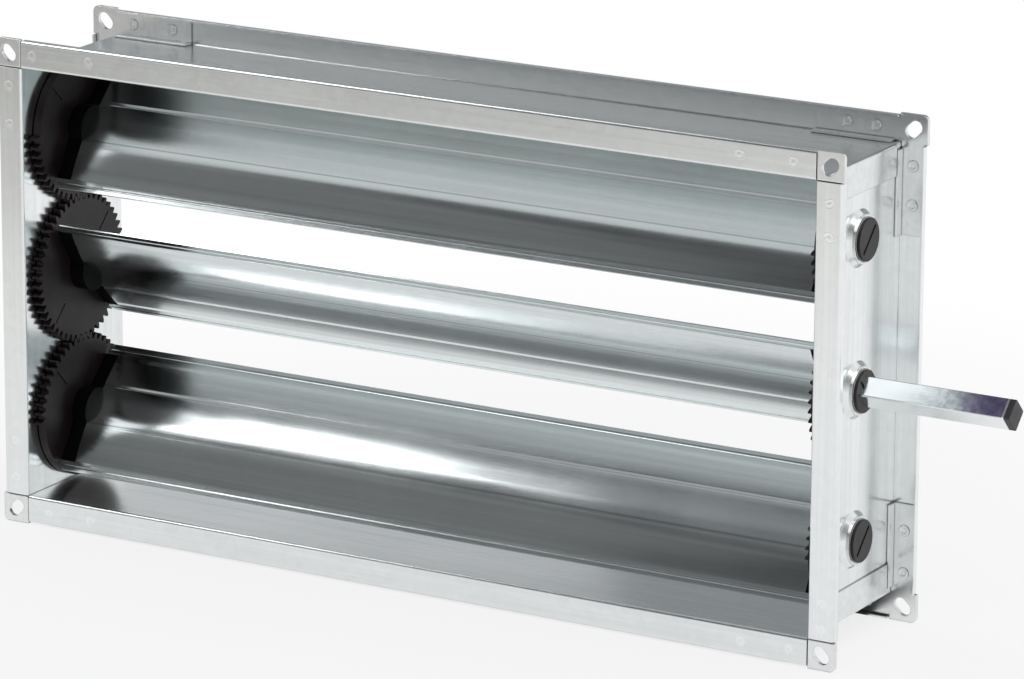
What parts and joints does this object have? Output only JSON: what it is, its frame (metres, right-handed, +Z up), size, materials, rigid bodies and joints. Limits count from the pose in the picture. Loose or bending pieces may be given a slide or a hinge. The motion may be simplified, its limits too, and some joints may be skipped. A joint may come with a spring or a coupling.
{
  "type": "opposed-blade duct damper",
  "caption": "Rectangular opposed-blade duct damper: flanged galvanised frame, hollow blades linked by toothed wheels, turned by a square shaft.",
  "frame": {"origin": "middle of the airway, on the middle blade's turning axis", "axes": "+X along the blades to the drive side, +Y through the duct from front to back, +Z up"},
  "size_m": [0.734, 0.12, 0.34],
  "materials": {
    "galvanised_sheet": "hot-dip galvanised sheet, fine spangle, semi-matt",
    "galvanised_bracket": "galvanised pressed steel, semi-gloss",
    "blade_sheet": "rolled sheet, satin, drawn along the blade",
    "black_plastic": "moulded black plastic, fine matt",
    "dark_plastic": "moulded dark grey plastic, semi-matt",
    "bearing_plastic": "moulded light grey bearing plastic",
    "zinc_plated_bar": "drawn square bar, bright zinc plated"
  },
  "bodies": {
    "frame": {"channel_top": "galvanised_sheet", "channel_bottom": "galvanised_sheet", "channel_left": "galvanised_sheet", "channel_right": "galvanised_sheet", "bracket_front_top_left": "galvanised_bracket", "bracket_front_top_right": "galvanised_bracket", "bracket_front_bottom_left": "galvanised_bracket", "bracket_front_bottom_right": "galvanised_bracket", "bracket_back_top_left": "galvanised_bracket", "bracket_back_top_right": "galvanised_bracket", "bracket_back_bottom_left": "galvanised_bracket", "bracket_back_bottom_right": "galvanised_bracket", "bush_top_left": "bearing_plastic", "bush_top_right": "bearing_plastic", "bush_middle_left": "bearing_plastic", "bush_middle_right": "bearing_plastic", "bush_bottom_left": "bearing_plastic", "bush_bottom_right": "bearing_plastic"},
    "top_blade": {"blade_shell_top": "blade_sheet", "cap_top_left": "black_plastic", "wheel_top_left": "black_plastic", "disc_top_left": "dark_plastic", "cap_top_right": "black_plastic", "wheel_top_right": "black_plastic", "disc_top_right": "dark_plastic"},
    "middle_blade": {"blade_shell_middle": "blade_sheet", "cap_middle_left": "black_plastic", "wheel_middle_left": "black_plastic", "disc_middle_left": "dark_plastic", "cap_middle_right": "black_plastic", "wheel_middle_right": "black_plastic", "disc_middle_right": "dark_plastic", "drive_shaft": "zinc_plated_bar"},
    "bottom_blade": {"blade_shell_bottom": "blade_sheet", "cap_bottom_left": "black_plastic", "wheel_bottom_left": "black_plastic", "disc_bottom_left": "dark_plastic", "cap_bottom_right": "black_plastic", "wheel_bottom_right": "black_plastic", "disc_bottom_right": "dark_plastic"}
  },
  "joints": [
    {"name": "middle_blade_turn", "type": "hinge", "parent": "frame", "child": "middle_blade", "pos_m": [0, 0, 0], "axis": [1, 0, 0], "range_deg": [-45, 45]},
    {"name": "top_blade_turn", "type": "hinge", "parent": "frame", "child": "top_blade", "pos_m": [0, 0, 0.1], "axis": [1, 0, 0], "range_deg": [-45, 45]},
    {"name": "bottom_blade_turn", "type": "hinge", "parent": "frame", "child": "bottom_blade", "pos_m": [0, 0, -0.1], "axis": [1, 0, 0], "range_deg": [-45, 45]}
  ],
  "couplings": [
    {"joint": "top_blade_turn", "follows": "middle_blade_turn", "ratio": -1},
    {"joint": "bottom_blade_turn", "follows": "middle_blade_turn", "ratio": -1}
  ]
}
